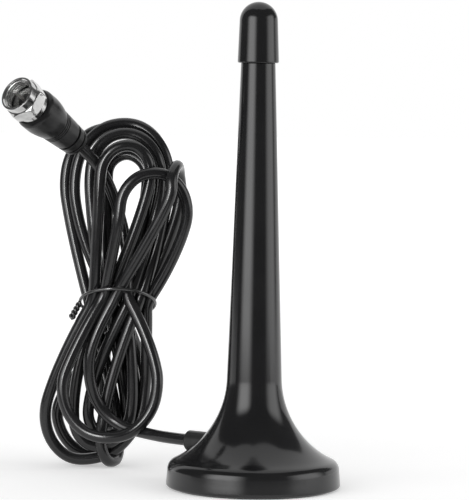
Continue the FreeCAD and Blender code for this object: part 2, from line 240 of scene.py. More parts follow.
cable = {
    "diameter": 3.5,
    "exit": (-19.3, 13.5, 11.6),
    "lead": [
        (-7.2, 5.05, 11.6), (-23.9, 16.75, 11.6), (-32.0, 26.0, 11.9), (-40.0, 31.0, 13.2),
        (-46.5, 32.0, 19.0), (-49.3, 31.5, 28.5), (-48.2, 31.2, 38.0),
    ],
    "tail": [
        (-36.9, 35.4, 60.0), (-38.9, 37.4, 70.5), (-41.8, 37.2, 79.4), (-45.2, 34.6, 88.0),
        (-50.5, 29.1, 94.9), (-55.7, 22.1, 99.7),
    ],
    "looseEnds": 2,  # points of the lead and the tail, next to the tie, that may shift
    "waist": (-41.0, 37.0, 49.5),
    "waistHalf": (10.4, 6.9),
    "waistLean": 0.55,  # the tie's front rides higher than its back
    # where each pass goes through the tie: across, deep
    "passes": [
        (0.0, -4.9), (5.6, 2.2), (0.6, 5.0), (-8.0, 1.6), (5.6, -1.5),
        (-1.1, 2.0), (2.1, -1.5), (-4.5, 0.5), (2.3, 2.0), (-5.5, 3.7),
        (-1.4, -1.6), (-7.3, -1.8), (8.5, -0.2), (-3.9, -4.3), (3.9, -4.5),
    ],
    # each turn: first side (across, height), tip, second side, how deep those three lie
    # from the waist, and how much each side bows out
    "turns": [
        ((-25.3, 83.5), (-23.7, 90.0), (-23.2, 83.5), (-13, -6, 1), (1.15, 1.5)),
        ((-59.0, 16.0), (-49.3, 4.0), (-34.0, 26.0), (6, 7, 11), (1.3, 1.5)),
        ((-31.0, 86.0), (-44.0, 100.6), (-57.1, 85.0), (10, 10, 6), (1.3, 1.25)),
        ((-40.8, 8.0), (-43.6, 1.2), (-46.5, 7.5), (8, 3, -2), (1.5, 1.5)),
        ((-26.5, 86.0), (-39.6, 102.3), (-54.0, 85.0), (4, 6, 3), (1.3, 1.7)),
        ((-35.0, 19.0), (-43.0, 9.3), (-49.5, 16.5), (6, 5, 2), (1.4, 1.5)),
        ((-29.2, 87.5), (-39.4, 99.5), (-49.6, 87.0), (1, 2, 0), (1.3, 1.25)),
        ((-53.4, 15.0), (-46.5, 6.3), (-36.3, 18.5), (1, 1, 2), (2.0, 1.5)),
        ((-32.4, 87.0), (-38.6, 93.2), (-45.0, 86.5), (-2, -2, -2), (1.3, 1.25)),
        ((-46.8, 17.5), (-42.5, 10.0), (-38.2, 17.0), (14, 9.5, 5), (1.3, 1.5)),
        ((-30.8, 88.0), (-38.1, 96.0), (-46.5, 86.0), (-5, -6, -5.5), (1.3, 1.2)),
        ((-62.3, 15.0), (-51.0, 1.5), (-33.0, 25.0), (2, 2, 5), (1.3, 1.5)),
        ((-20.6, 77.5), (-29.8, 88.6), (-40.3, 76.5), (-6, -9, -10), (1.4, 1.1)),
        ((-56.2, 25.3), (-42.0, 10.0), (-27.6, 25.7), (-9, -12, -10), (1.2, 1.5)),
    ],
    "climb": (0.22, 0.46, 0.72, 0.97),  # shares of the way from the tie to a side's widest point
    "depthBow": 1.25,
    "bendDeg": (28, 60),  # points between that place and the tip
    # the line cuts inside its points, so these lie a little further out
    "fullness": 1.05,
    "tipReach": 1.08,
    "tipLift": 0.016,
    "bevelSteps": 4,
    "curveSteps": 7,
}
easing = {
    "rounds": 200,
    "samples": 3,  # places looked at for each point of the cable
    "sameStrand": 2,  # points this near along the cable don't push each other
    "gap": 3.6,  # least distance between two strands' middles
    "pull": (0.5, 1.0, 0.5),  # strands move apart mostly in depth
    "pushShare": 0.9,
    "leastWeight": 0.2,  # guards the ends of the cable, which few samples reach
    "evenShare": 0.3,  # how much of a shift is spread over the neighbours
    "lasting": 0.998,  # how much of it is left after a round
    "tiny": 1e-9,
}


def sideOfTurn(cable, start, side, tip, depth, tipDepth, bow):
    midDeep = cable["waist"][1]
    points = []
    for share in cable["climb"]:
        spread = (1 - (1 - share) ** bow) * cable["fullness"]
        sink = 1 - (1 - share) ** cable["depthBow"]
        points.append((
            start[0] + (side[0] - start[0]) * spread,
            start[1] + (midDeep + depth - start[1]) * sink,
            start[2] + (side[1] - start[2]) * share,
        ))
    for angle in cable["bendDeg"]:
        out = math.cos(math.radians(angle))
        up = math.sin(math.radians(angle)) * cable["tipReach"]
        points.append((
            tip[0] + (side[0] - tip[0]) * out * cable["fullness"],
            midDeep + tipDepth + (depth - tipDepth) * out,
            side[1] + (tip[1] - side[1]) * up,
        ))
    return points


def cablePoints(cable):
    across, deep, height = cable["waist"]
    passes = [(across + x, deep + y, height - cable["waistLean"] * y) for x, y in cable["passes"]]
    points = list(cable["lead"])
    tied = []
    for (first, tip, second, depths, bows), start, stop in zip(cable["turns"], passes, passes[1:]):
        tied.append(len(points))
        points.append(start)
        points += sideOfTurn(cable, start, first, tip, depths[0], depths[1], bows[0])
        points.append((tip[0], deep + depths[1], tip[1] + (tip[1] - height) * cable["tipLift"]))
        points += sideOfTurn(cable, stop, second, tip, depths[2], depths[1], bows[1])[::-1]
    tied.append(len(points))
    points.append(passes[-1])
    return np.array(points + cable["tail"], float), tied


def spreadOut(rows):
    # a row keeps half of its value and takes a quarter from each neighbour
    spread = rows.copy()
    spread[1:-1] = 0.5 * rows[1:-1] + 0.25 * (rows[:-2] + rows[2:])
    return spread


def easeApart(points, tied, cable):
    # push strands that touch away from each other, and let neighbours share the move
    count, samples, gap = len(points), easing["samples"], easing["gap"]
    weights = np.zeros(((count - 2) * samples, count))
    for row in range(len(weights)):
        middle, share = row // samples + 1, (row % samples + 0.5) / samples
        weights[row, middle - 1:middle + 2] = (
            0.5 * (1 - share) ** 2, 0.5 + share * (1 - share), 0.5 * share * share,
        )
    held = np.zeros(count, bool)
    held[:len(cable["lead"]) - cable["looseEnds"]] = True
    held[count - len(cable["tail"]) + cable["looseEnds"]:] = True
    room = np.array(cable["waistHalf"]) - cable["diameter"] / 2
    order = np.arange(len(weights))
    apart = np.abs(order[:, None] - order[None, :]) > samples * easing["sameStrand"]
    pull = np.array(easing["pull"])
    total = weights.sum(0)[:, None].clip(easing["leastWeight"])
    home = points.copy()
    for _ in range(easing["rounds"]):
        line = weights @ points
        offset = line[:, None, :] - line[None, :, :]
        distance = np.sqrt((offset ** 2).sum(2)) + easing["tiny"]
        touching = (distance < gap) & apart
        amount = np.where(touching, (gap - distance) / 2, 0)
        push = (offset / distance[:, :, None] * pull * amount[:, :, None]).sum(1)
        push /= np.sqrt(np.maximum(touching.sum(1), 1))[:, None]
        move = spreadOut(weights.T @ push / total * easing["pushShare"])
        drift = points + np.where(held[:, None], 0, move) - home
        even = spreadOut(drift)
        even[held] = 0
        shift = (1 - easing["evenShare"]) * drift + easing["evenShare"] * even
        points = home + easing["lasting"] * shift
        points[~held, 2] = np.maximum(points[~held, 2], cable["diameter"] / 2)
        spot = points[tied, :2] - cable["waist"][:2]
        reach = np.sqrt(((spot / room) ** 2).sum(1))
        points[tied, :2] = spot / np.maximum(reach, 1)[:, None] + cable["waist"][:2]
    return points


def addCable(cable):
    points = easeApart(*cablePoints(cable), cable)
    curve = bpy.data.curves.new("coaxCable", "CURVE")
    curve.dimensions = "3D"
    curve.bevel_depth = cable["diameter"] / 2 * mm
    curve.bevel_resolution = cable["bevelSteps"]
    curve.resolution_u = cable["curveSteps"]
    curve.use_fill_caps = True
    spline = curve.splines.new("NURBS")
    spline.points.add(len(points) - 1)
    for spot, place in zip(spline.points, points):
        spot.co = (*(Vector(place) * mm), 1)
    spline.order_u = 3
    spline.use_endpoint_u = True
    piece = bpy.data.objects.new("coaxCable", curve)
    scene.collection.objects.link(piece)
    print("cable:", len(points), "points,", round(spline.calc_length(), 3), "m")
    return dress(piece, "cableBlack", "antenna", "coax_lead", "cable_hank", "coax_tail")


cord = addCable(cable)

# Turned pieces: a line of corners goes round an axis

turning = {
    "steps": 160, "arcStepDeg": 7.5, "leastArcs": 3, "sharpDeg": 33,
    "guard": 0.3,  # extra rings beside a rounding keep the faces next to it flat
    "onAxis": 1e-6,
}


def softenedLine(corners):
    # a corner is (out, along) or (out, along, rounding)
    line = []
    for place, corner in enumerate(corners):
        here = Vector(corner[:2])
        if len(corner) < 3:
            line.append(here)
            continue
        back = (Vector(corners[place - 1][:2]) - here).normalized()
        ahead = (Vector(corners[(place + 1) % len(corners)][:2]) - here).normalized()
        half = back.angle(ahead) / 2
        trim = corner[2] / math.tan(half)
        centre = here + (back + ahead).normalized() * (corner[2] / math.sin(half))
        start = here + back * trim - centre
        sweep = start.angle_signed(here + ahead * trim - centre)
        arcs = math.ceil(abs(math.degrees(sweep)) / turning["arcStepDeg"])
        arcs = max(turning["leastArcs"], arcs)
        line.append(here + back * trim * (1 + turning["guard"]))
        for step in range(arcs + 1):
            turn = Matrix.Rotation(-sweep * step / arcs, 2)
            line.append(centre + turn @ start)
        line.append(here + ahead * trim * (1 + turning["guard"]))
    return line


def finishMesh(build, name, place):
    bmesh.ops.recalc_face_normals(build, faces=build.faces)
    mesh = bpy.data.meshes.new(name)
    build.to_mesh(mesh)
    build.free()
    mesh.transform(place @ Matrix.Scale(mm, 4))
    mesh.shade_smooth()
    mesh.set_sharp_from_angle(angle=math.radians(turning["sharpDeg"]))
    return mesh


def turnedMesh(name, corners, place=Matrix(), outAt=None, steps=None):
    # outAt can change how far out a ring lies at an angle, as on a hexagon
    steps = steps or turning["steps"]
    build = bmesh.new()
    rings = []
    for out, height in softenedLine(corners):
        spots = 1 if out < turning["onAxis"] else steps
        ring = []
        for spot in range(spots):
            angle = math.tau * spot / steps
            reach = outAt(out, angle) if outAt else out
            ring.append(build.verts.new((reach * math.cos(angle), reach * math.sin(angle), height)))
        rings.append(ring)
    nextRings = rings[1:] + (rings[:1] if len(rings[0]) > 1 else [])
    for ring, nextRing in zip(rings, nextRings):
        for spot in range(steps):
            after = (spot + 1) % steps
            face = [ring[spot % len(ring)], ring[after % len(ring)]]
            face += [nextRing[after % len(nextRing)], nextRing[spot % len(nextRing)]]
            build.faces.new(list(dict.fromkeys(face)))
    return finishMesh(build, name, place)


def addPiece(name, mesh):
    piece = bpy.data.objects.new(name, mesh)
    scene.collection.objects.link(piece)
    return piece


def placeAlong(origin, axis):
    turn = Vector((0, 0, 1)).rotation_difference(Vector(axis))
    return Matrix.Translation(Vector(origin) * mm) @ turn.to_matrix().to_4x4()


# Mast: taper, flare and foot rim in one hollow moulding

mast = {
    "baseRadius": 25.0,
    "bottom": 0.4,
    "rimHeight": 7.4,
    "rimDraftDeg": 4.5,
    "rimEdge": 0.8,
    "shoulder": 3.0,
    "shoulderClear": 1.1,
    "footRadius": 7.86,
    "footHeight": 31.2,
    "topRadius": 4.88,
    "topHeight": 121.2,
    "topEdge": 0.2,
    "wall": 1.6,
    "spigotRadius": 4.18,
    "spigotTop": 130.2,
    "spigotEdge": 0.25,
    "recessRadius": 23.5,
    "recessTop": 1.2,
    "recessEdge": 0.2,
    "cavityRadius": 22.5,
    "flareSteps": 44,
}


def topOfRim(mast):
    draft = math.tan(math.radians(mast["rimDraftDeg"]))
    return mast["baseRadius"] - draft * (mast["rimHeight"] - mast["bottom"])


def flareArc(mast, wall):
    # points down the flare from the mast's foot, on the outer face or a wall's thickness inside it
    narrowing = mast["footRadius"] - mast["topRadius"]
    slope = math.atan2(narrowing, mast["topHeight"] - mast["footHeight"])
    out, up = topOfRim(mast) - mast["footRadius"], mast["rimHeight"] - mast["footHeight"]
    radius = (out ** 2 + up ** 2) / (2 * (math.cos(slope) * out + math.sin(slope) * up))
    centre = (
        mast["footRadius"] + radius * math.cos(slope),
        mast["footHeight"] + radius * math.sin(slope),
    )
    if wall:
        end = math.acos((centre[0] - mast["cavityRadius"]) / (radius + wall))
    else:
        end = math.asin((centre[1] - mast["rimHeight"]) / radius)
    points = []
    for step in range(mast["flareSteps"] + 1):
        angle = slope + (end - slope) * step / mast["flareSteps"]
        points.append((
            centre[0] - (radius + wall) * math.cos(angle),
            centre[1] - (radius + wall) * math.sin(angle),
        ))
    return points


def addMast(mast):
    outer = flareArc(mast, 0)
    inner = flareArc(mast, mast["wall"])
    bore = mast["topRadius"] - mast["wall"]
    # the shoulder's rounding takes the place of the flare's last points
    room = mast["shoulder"] * mast["shoulderClear"]
    clear = [spot for spot in outer if math.dist(spot, outer[-1]) > room]
    corners = [
        (bore, mast["spigotTop"]),
        (mast["spigotRadius"], mast["spigotTop"], mast["spigotEdge"]),
        (mast["spigotRadius"], mast["topHeight"]),
        (mast["topRadius"], mast["topHeight"], mast["topEdge"]),
        *clear,
        (topOfRim(mast), mast["rimHeight"], mast["shoulder"]),
        (mast["baseRadius"], mast["bottom"], mast["rimEdge"]),
        (mast["recessRadius"], mast["bottom"], mast["recessEdge"]),
        (mast["recessRadius"], mast["recessTop"]),
        (mast["cavityRadius"], mast["recessTop"]),
        *inner[::-1],
        (bore, mast["topHeight"]),
    ]
    piece = addPiece("mastHousing", turnedMesh("mastHousing", corners))
    return dress(piece, "mastBlack", "antenna", "mast_housing")


addMast(mast)

# Tip cap and pad

cap = {
    "bottom": 121.2, "bottomRadius": 5.88, "domeRadius": 5.43, "top": 138.5, "lip": 0.4,
    "boreRadius": 4.23, "boreEdge": 0.15, "ceiling": 130.4,
    "socketRadius": 1.025, "socketTop": 132.9, "domeSteps": 22,
}
pad = {"radius": 23.3, "thickness": 1.2, "edge": 0.3}


def addCap(cap):
    domeBase = cap["top"] - cap["domeRadius"]
    dome = []
    for step in range(cap["domeSteps"] + 1):
        angle = math.pi / 2 * step / cap["domeSteps"]
        out, up = cap["domeRadius"] * math.cos(angle), cap["domeRadius"] * math.sin(angle)
        dome.append((out, domeBase + up))
    dome[-1] = (0, cap["top"])
    corners = [
        (0, cap["socketTop"]),
        (cap["socketRadius"], cap["socketTop"]),
        (cap["socketRadius"], cap["ceiling"]),
        (cap["boreRadius"], cap["ceiling"]),
        (cap["boreRadius"], cap["bottom"], cap["boreEdge"]),
        (cap["bottomRadius"], cap["bottom"], cap["lip"]),
        *dome,
    ]
    piece = addPiece("tipCap", turnedMesh("tipCap", corners))
    return dress(piece, "mastBlack", "antenna", "tip_cap")


def addPad(pad):
    corners = [
        (0, 0),
        (pad["radius"], 0, pad["edge"]),
        (pad["radius"], pad["thickness"], pad["edge"]),
        (0, pad["thickness"]),
    ]
    piece = addPiece("basePad", turnedMesh("basePad", corners))
    return dress(piece, "padBlack", "antenna", "base_pad")


addCap(cap)
addPad(pad)
print("mast, cap and pad made")

# Gland where the cable leaves the foot

gland = {
    "azimuthDeg": 145.0, "height": 11.6, "inner": 14.0, "outer": 23.6, "radius": 3.0, "bore": 1.85,
    "chamfer": 0.9, "chamferEdge": 0.3, "endEdge": 0.15, "boreEdge": 0.1, "steps": 72,
}


def addGland(gland):
    angle = math.radians(gland["azimuthDeg"])
    axis = (math.cos(angle), math.sin(angle), 0)
    corners = [
        (gland["bore"], gland["inner"]),
        (gland["radius"], gland["inner"]),
        (gland["radius"], gland["outer"] - gland["chamfer"], gland["chamferEdge"]),
        (gland["radius"] - gland["chamfer"], gland["outer"], gland["endEdge"]),
        (gland["bore"], gland["outer"], gland["boreEdge"]),
    ]
    place = placeAlong((0, 0, gland["height"]), axis)
    mesh = turnedMesh("cableGland", corners, place, steps=gland["steps"])
    return dress(addPiece("cableGland", mesh), "glandBlack", "antenna", "cable_gland")


glandPiece = addGland(gland)

# Plug: sizes go along its axis from the boot's rear face

plug = {"rear": (-53.1, 25.6, 97.3), "axis": (-0.522, -0.706, 0.478), "steps": 96}
plugPlace = placeAlong(plug["rear"], plug["axis"])

boot = {
    "length": 21.9, "bore": 1.85, "seat": 3.55, "seatRear": 11.4, "endRadius": 4.15, "edge": 0.4,
    "bodyRadius": 5.2, "barrelStart": 12.2, "barrelFull": 18.2,
    "barrelRadius": 6.25, "barrelBulge": 0.25,
    "noseStart": 20.3, "noseRadius": 5.6, "noseBulge": 0.2, "curveSteps": 12,
    # each groove: where it starts, width, depth, rounding
    "grooves": [
        (1.3, 0.5, 0.5, 0.12), (4.0, 0.8, 0.7, 0.15),
        (9.95, 0.3, 0.25, 0.05), (10.75, 0.3, 0.25, 0.05), (11.55, 0.3, 0.25, 0.05),
    ],
}
band = {
    "radius": 5.2, "bore": 3.05, "sleeve": 3.5, "sleeveRear": 11.4,
    "rear": 21.9, "front": 23.7, "edge": 0.18,
}
nut = {
    "rear": 23.9, "flat": 5.5, "hexFront": 27.6, "turnDeg": -16.0,
    "drop": 0.5, "dropSteps": 5, "blunt": 0.1,  # how the hexagon's corners fall off at both ends
    "collar": 5.3, "mouth": 30.1, "edge": 0.15, "mouthEdge": 0.08,
    "bore": 4.45, "chamfer": 0.3, "lipRadius": 3.08, "lipFront": 24.7, "steps": 120,
}
thread = {
    "pitch": 0.794, "start": 26.4, "end": 29.6, "ridge": 0.4,
    "stepsPerTurn": 64, "ridgeSides": 4,
}


def swellLine(start, end, bulge, steps):
    # a shallow arc between two places of a profile, as a parabola
    points = []
    for step in range(steps + 1):
        share = step / steps
        out = start[0] + (end[0] - start[0]) * share + 4 * bulge * share * (1 - share)
        points.append((out, start[1] + (end[1] - start[1]) * share))
    return points


def addBoot(boot):
    taper = (boot["bodyRadius"] - boot["endRadius"]) / boot["barrelStart"]
    corners = [(boot["bore"], 0), (boot["endRadius"], 0, boot["edge"])]
    for start, width, depth, rounding in boot["grooves"]:
        for height, deep in ((start, 0), (start, depth), (start + width, depth), (start + width, 0)):
            corners.append((boot["endRadius"] + taper * height - deep, height, rounding))
    corners += swellLine(
        (boot["bodyRadius"], boot["barrelStart"]), (boot["barrelRadius"], boot["barrelFull"]),
        boot["barrelBulge"], boot["curveSteps"],
    )
    corners += swellLine(
        (boot["barrelRadius"], boot["noseStart"]), (boot["noseRadius"], boot["length"]),
        boot["noseBulge"], boot["curveSteps"],
    )
    corners += [
        (boot["seat"], boot["length"]),
        (boot["seat"], boot["seatRear"]),
        (boot["bore"], boot["seatRear"]),
    ]
    mesh = turnedMesh("plugBoot", corners, plugPlace, steps=plug["steps"])
    return dress(addPiece("plugBoot", mesh), "bootBlack", "antenna", "connector_boot")


def addNut(nut):
    halfSide = math.pi / 6
    corner = nut["flat"] / math.cos(halfSide) - nut["blunt"]

    def hexOut(out, angle):
        # rings beyond the flats are trimmed to the hexagon
        return min(out, nut["flat"] / math.cos(angle % (2 * halfSide) - halfSide))

    rise = []
    for step in range(nut["dropSteps"] + 1):
        out = nut["flat"] + (corner - nut["flat"]) * step / nut["dropSteps"]
        rise.append((out, nut["drop"] * step / nut["dropSteps"]))
    corners = [(nut["lipRadius"], nut["rear"])]
    corners += [(out, nut["rear"] + up) for out, up in rise]
    corners += [(out, nut["hexFront"] - up) for out, up in reversed(rise)]
    corners += [
        (nut["collar"], nut["hexFront"]),
        (nut["collar"], nut["mouth"], nut["edge"]),
        (nut["bore"] + nut["chamfer"], nut["mouth"], nut["mouthEdge"]),
        (nut["bore"], nut["mouth"] - nut["chamfer"]),
        (nut["bore"], nut["lipFront"]),
        (nut["lipRadius"], nut["lipFront"]),
    ]
    place = plugPlace @ Matrix.Rotation(math.radians(nut["turnDeg"]), 4, "Z")
    mesh = turnedMesh("couplingNut", corners, place, hexOut, nut["steps"])
    return dress(addPiece("couplingNut", mesh), "plugNickel", "coupling_nut", "coupling_nut")


def startTree(name, sizes):
    # a node tree with a named input for each size and one for the finish
    tree = bpy.data.node_groups.new(name, "GeometryNodeTree")
    addSocket = tree.interface.new_socket
    addSocket("Geometry", in_out="OUTPUT", socket_type="NodeSocketGeometry")
    kinds = {**dict.fromkeys(sizes, "NodeSocketFloat"), "Finish": "NodeSocketMaterial"}
    keys = {}
    for given, kind in kinds.items():
        keys[given] = addSocket(given, in_out="INPUT", socket_type=kind).identifier
    return tree, tree.nodes.new("NodeGroupInput"), keys


def endTree(tree, given, parts):
    link = tree.links.new
    join = tree.nodes.new("GeometryNodeJoinGeometry")
    for part in parts:
        link(part, join.inputs["Geometry"])
    whole = tree.nodes.new("GeometryNodeRealizeInstances")
    coat = tree.nodes.new("GeometryNodeSetMaterial")
    link(join.outputs["Geometry"], whole.inputs["Geometry"])
    link(whole.outputs["Geometry"], coat.inputs["Geometry"])
    link(given.outputs["Finish"], coat.inputs["Material"])
    link(coat.outputs["Geometry"], tree.nodes.new("NodeGroupOutput").inputs["Geometry"])


def meshFromTree(name, tree, keys, sizes, finishName, place):
    carrier = addPiece(name, bpy.data.meshes.new(name))
    modifier = carrier.modifiers.new(name, "NODES")
    modifier.node_group = tree
    for size, value in sizes.items():
        modifier[keys[size]] = value
    modifier[keys["Finish"]] = finish[finishName]
    result = carrier.evaluated_get(bpy.context.evaluated_depsgraph_get())
    mesh = bpy.data.meshes.new_from_object(result)
    bpy.data.objects.remove(carrier)
    mesh.name = name
    mesh.transform(place)
    return mesh


def sweptWire(tree, path, radius, sides):
    # a round section along a path
    section = addNode(tree, "GeometryNodeCurvePrimitiveCircle", Resolution=sides)
    sweep = tree.nodes.new("GeometryNodeCurveToMesh")
    sweep.inputs["Fill Caps"].default_value = True
    tree.links.new(radius, section.inputs["Radius"])
    tree.links.new(path, sweep.inputs["Curve"])
    tree.links.new(section.outputs["Curve"], sweep.inputs["Profile Curve"])
    return sweep.outputs["Mesh"]


def addThread(nut, thread):
    # a ridge that winds up the nut's bore
    length = thread["end"] - thread["start"]
    sizes = {
        "Bore radius": nut["bore"], "Turns": length / thread["pitch"],
        "Length": length, "Ridge": thread["ridge"],
    }
    tree, given, keys = startTree("boreThread", sizes)
    spiral = addNode(tree, "GeometryNodeCurveSpiral", Resolution=thread["stepsPerTurn"])
    upright = tree.nodes.new("GeometryNodeSetCurveNormal")
    upright.mode = "Z_UP"
    link = tree.links.new
    link(given.outputs["Bore radius"], spiral.inputs["Start Radius"])
    link(given.outputs["Bore radius"], spiral.inputs["End Radius"])
    link(given.outputs["Turns"], spiral.inputs["Rotations"])
    link(given.outputs["Length"], spiral.inputs["Height"])
    link(spiral.outputs["Curve"], upright.inputs["Curve"])
    path, ridge = upright.outputs["Curve"], given.outputs["Ridge"]
    endTree(tree, given, [sweptWire(tree, path, ridge, thread["ridgeSides"])])
    place = plugPlace @ Matrix.Scale(mm, 4) @ Matrix.Translation((0, 0, thread["start"]))
    # the thread takes the lighter nickel with its painted highlight
    mesh = meshFromTree("boreThread", tree, keys, sizes, "paintedHighlightNickel", place)
    return dress(addPiece("boreThread", mesh), "paintedHighlightNickel", "coupling_nut")


def addBand(band):
    corners = [
        (band["bore"], band["sleeveRear"]),
        (band["sleeve"], band["sleeveRear"]),
        (band["sleeve"], band["rear"]),
        (band["radius"], band["rear"], band["edge"]),
        (band["radius"], band["front"], band["edge"]),
        (band["bore"], band["front"]),
    ]
    mesh = turnedMesh("crimpBand", corners, plugPlace, steps=plug["steps"])
    return dress(addPiece("crimpBand", mesh), "plugNickel", "antenna", "connector_sleeve")


bootPiece = addBoot(boot)
bandPiece = addBand(band)
nutPiece = addNut(nut)
threadPiece = addThread(nut, thread)
print("plug made")

# Tie: one wire round the waist of the turns, its ends twisted together on the left

tie = {
    "centre": (-41.0, 37.0, 49.5), "across": 11.2, "deep": 9.58, "leanDeg": -30.0, "wire": 0.5,
    "twistAxis": (-0.45, -0.25, -0.86), "twistLength": 5.5, "pitch": 2.6,
    "offset": 0.42, "splay": 0.62,
    "ringSteps": 96, "ringSides": 14, "twistSteps": 32, "twistSides": 12,
}


def addTie(tie):
    sizes = {
        "Across": tie["across"], "Deep": tie["deep"], "Lean": math.radians(tie["leanDeg"]),
        "Wire": tie["wire"], "Twist length": tie["twistLength"],
        "Turns": tie["twistLength"] / tie["pitch"], "Offset": tie["offset"], "Splay": tie["splay"],
    }
    tree, given, keys = startTree("wireTie", sizes)
    link = tree.links.new
    ring = addNode(
        tree, "GeometryNodeCurvePrimitiveCircle", Resolution=tie["ringSteps"], Radius=1.0,
    )
    shape = addNode(tree, "ShaderNodeCombineXYZ", Z=1.0)
    tilt = tree.nodes.new("ShaderNodeCombineXYZ")
    loop = tree.nodes.new("GeometryNodeTransform")
    link(given.outputs["Across"], shape.inputs["X"])
    link(given.outputs["Deep"], shape.inputs["Y"])
    link(given.outputs["Lean"], tilt.inputs["X"])
    link(ring.outputs["Curve"], loop.inputs["Geometry"])
    link(shape.outputs["Vector"], loop.inputs["Scale"])
    link(tilt.outputs["Vector"], loop.inputs["Rotation"])
    wire = given.outputs["Wire"]
    parts = [sweptWire(tree, loop.outputs["Geometry"], wire, tie["ringSides"])]
    aim = Vector((0, 0, 1)).rotation_difference(Vector(tie["twistAxis"])).to_matrix().to_4x4()
    for halfTurn in (0, math.pi):
        strand = addNode(tree, "GeometryNodeCurveSpiral", Resolution=tie["twistSteps"])
        for size, socket in (
            ("Offset", "Start Radius"), ("Splay", "End Radius"),
            ("Turns", "Rotations"), ("Twist length", "Height"),
        ):
            link(given.outputs[size], strand.inputs[socket])
        turn = (aim @ Matrix.Rotation(halfTurn, 4, "Z")).to_euler()
        side = (-tie["across"], 0, 0)
        place = addNode(tree, "GeometryNodeTransform", Rotation=turn, Translation=side)
        link(strand.outputs["Curve"], place.inputs["Geometry"])
        parts.append(sweptWire(tree, place.outputs["Geometry"], wire, tie["twistSides"]))
    endTree(tree, given, parts)
    place = Matrix.Translation(Vector(tie["centre"]) * mm) @ Matrix.Scale(mm, 4)
    mesh = meshFromTree("wireTie", tree, keys, sizes, "tieBlack", place)
    mesh.shade_smooth()
    mesh.set_sharp_from_angle(angle=math.radians(turning["sharpDeg"]))
    return dress(addPiece("wireTie", mesh), "tieBlack", "antenna", "twist_tie")


tiePiece = addTie(tie)
print("tie made")

# CAD nodes that keep their shape

nodeFinish = {
    "magnet": "ferriteGrey", "ground_plate": "plateSteel", "coil_former": "formerWhite",
    "whip_rod": "whipSteel", "loading_coil": "wireCopper", "coax_dielectric": "dielectricWhite",
    # the post takes the lighter nickel with its painted highlight
    "feed_core": "wireCopper", "braid_pigtail": "braidTinned", "connector_post": "paintedHighlightNickel",
    "connector_insulator": "beadBlack", "centre_pin": "pinTinned",
}
for name, finishName in nodeFinish.items():
    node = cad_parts[name]
    if not node.material_slots:
        node.data.materials.append(finish[finishName])
    for slot in node.material_slots:
        slot.material = finish[finishName]

# Studio, in metres: white floor and backdrop, two softboxes, a strip for the cable, and a dark
# front side that only reflections see

studio = {
    "floorHalf": 4.0,
    "floorTone": 0.86,
    "ambient": 0.5,
    "floorGlow": (0.18, 0.75),  # in front, far behind
    "glowReach": (-0.35, 0.9),  # how far in front and behind along Y
    # azimuth from the camera's side in degrees (left is minus), place and size,
    # brightness of the lamp and of its reflection
    "boxes": [
        {
            "name": "leftSoftbox", "azimuth": -40.0, "distance": 0.9, "width": 1.2,
            "bottom": 0.0, "top": 0.70, "glow": 2.15, "sheen": 4.1,
        },
        {
            "name": "rightSoftbox", "azimuth": 78.0, "distance": 0.9, "width": 1.25,
            "bottom": 0.0, "top": 0.70, "glow": 2.15, "sheen": 2.4,
        },
    ],
    # a reflection grows from rim at its sides to full at edge, a share of the width,
    # and fades above topFrom, a share of the height
    "boxFade": {"edge": 0.4, "rim": 0.12, "topFrom": 0.62},
    # a narrow upright strip that draws the bright lines on the cable and its tie
    "cableStrip": {
        "azimuth": -38.0, "distance": 0.19, "width": 0.034, "bottom": 0.05, "top": 0.15, "glow": 17.0,
    },
    "hood": {
        "distance": 1.25, "glow": 0.12, "columns": 66, "rows": 20,
        # azimuth from the camera's side, lowest and highest elevation, in degrees
        "outline": [
            (-125, 0, 5), (-122.6, 0, 19), (-112, 0, 47), (-87, 0, 68), (0, 0, 78),
            (100, 0, 62), (112, 0, 57), (114, 15, 56), (139, 15, 39),
        ],
        # a dark sheet on the floor inside the hood: azimuths, nearest distance, height
        "lip": {"azimuths": (-85, 70), "from": 0.12, "height": 0.003, "columns": 24},
    },
}


def addRaySwitch(tree):
    # 1 for what the camera, a reflection or glass sees, 0 for light that falls on the object
    path = tree.nodes.new("ShaderNodeLightPath")
    total = path.outputs["Is Camera Ray"]
    for ray in ("Is Glossy Ray", "Is Transmission Ray"):
        add = addMath(tree, "ADD", total, path.outputs[ray])
        add.use_clamp = True
        total = add.outputs["Value"]
    return total


def makeGlowing(name, tone):
    # a dull grey surface with white emission
    material, tree, shader = startMaterial(name)
    shader.inputs["Base Color"].default_value = (tone, tone, tone, 1)
    shader.inputs["Specular IOR Level"].default_value = 0.0
    shader.inputs["Emission Color"].default_value = (1, 1, 1, 1)
    return material, tree, shader


def rectangleMesh(name, wide, high):
    half, rise = wide / 2, high / 2
    mesh = bpy.data.meshes.new(name)
    corners = [(-half, -rise, 0), (half, -rise, 0), (half, rise, 0), (-half, rise, 0)]
    mesh.from_pydata(corners, [], [(0, 1, 2, 3)])
    return mesh


def gridFaces(columns, rows, base):
    # faces between points that are listed column by column
    step = rows + 1
    firsts = [base + column * step + row for column in range(columns) for row in range(rows)]
    return [(first, first + step, first + step + 1, first + 1) for first in firsts]


def placeAround(azimuth, reach, height):
    # azimuth goes from the camera's side
    angle = math.radians(azimuth)
    return Vector((reach * math.sin(angle), -reach * math.cos(angle), height))


def addWorld(studio):
    world = bpy.data.worlds.new("whiteStudio")
    scene.world = world
    world.use_nodes = True
    tree = world.node_tree
    background = tree.nodes["Background"]
    background.inputs["Color"].default_value = (1, 1, 1, 1)
    level = addMapRange(tree, target=(studio["ambient"], 1.0))
    tree.links.new(addRaySwitch(tree), level.inputs["Value"])
    tree.links.new(level.outputs["Result"], background.inputs["Strength"])


